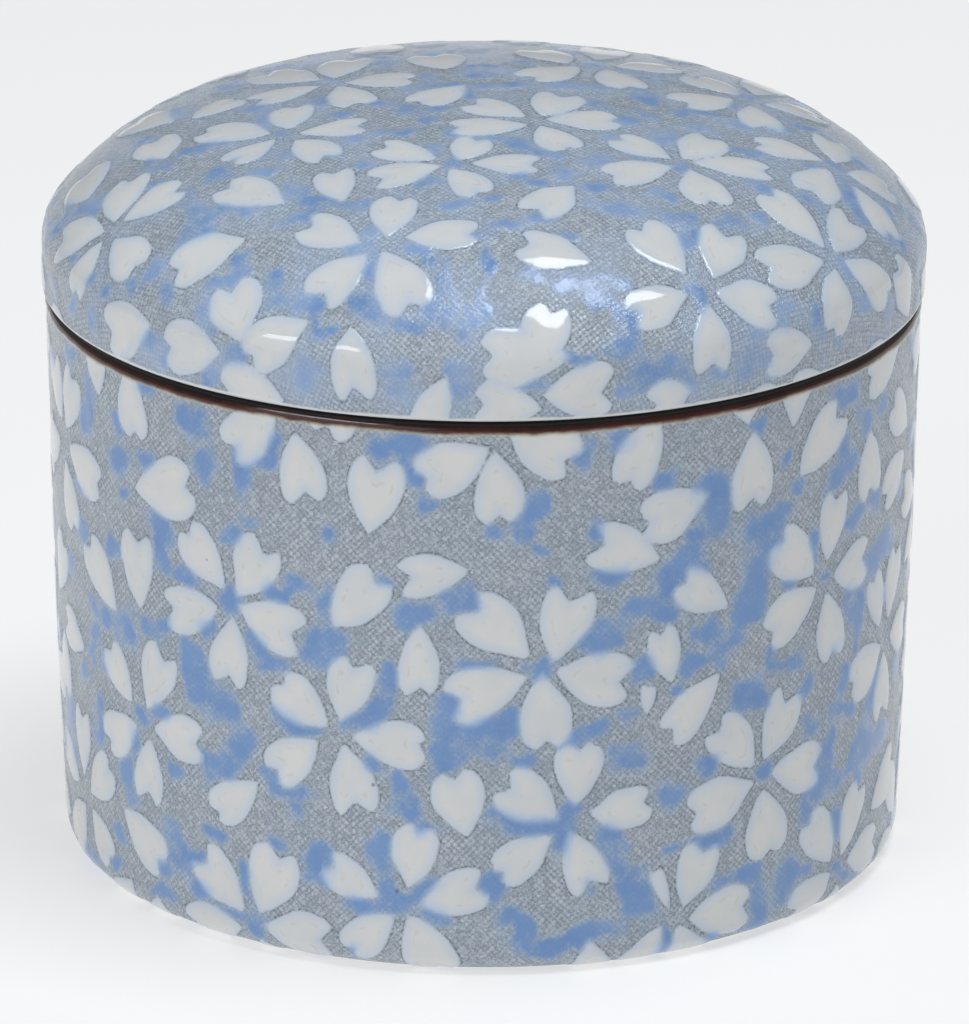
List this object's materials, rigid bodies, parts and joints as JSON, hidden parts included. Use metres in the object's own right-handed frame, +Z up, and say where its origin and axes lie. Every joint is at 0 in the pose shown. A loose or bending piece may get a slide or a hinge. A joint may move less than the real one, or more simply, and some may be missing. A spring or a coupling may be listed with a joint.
{
  "type": "lidded ceramic jar",
  "caption": "Squat round glazed ceramic jar with a domed lift-off lid, printed with white petals and soft blue on a silvery grey ground.",
  "frame": {"origin": "middle of the foot ring, on the surface that the jar stands on", "axes": "+Z up along the axis of revolution; X and Y are alike, since the solids are round"},
  "size_m": [0.089, 0.089, 0.0783],
  "materials": {
    "jar_glaze": "gloss glaze over a fine silvery grey print, raised white petals and soft cobalt blue; iron-brown rim and bare foot",
    "lid_glaze": "gloss glaze over a fine silvery grey print, raised white petals and soft cobalt blue; white lower edge"
  },
  "bodies": {
    "jar_body": {"jar": "jar_glaze"},
    "lid_body": {"lid": "lid_glaze"}
  },
  "joints": [
    {"name": "lid_lift", "type": "slide", "parent": "jar_body", "child": "lid_body", "axis": [0, 0, 1], "range_m": [0, 0.06]}
  ]
}
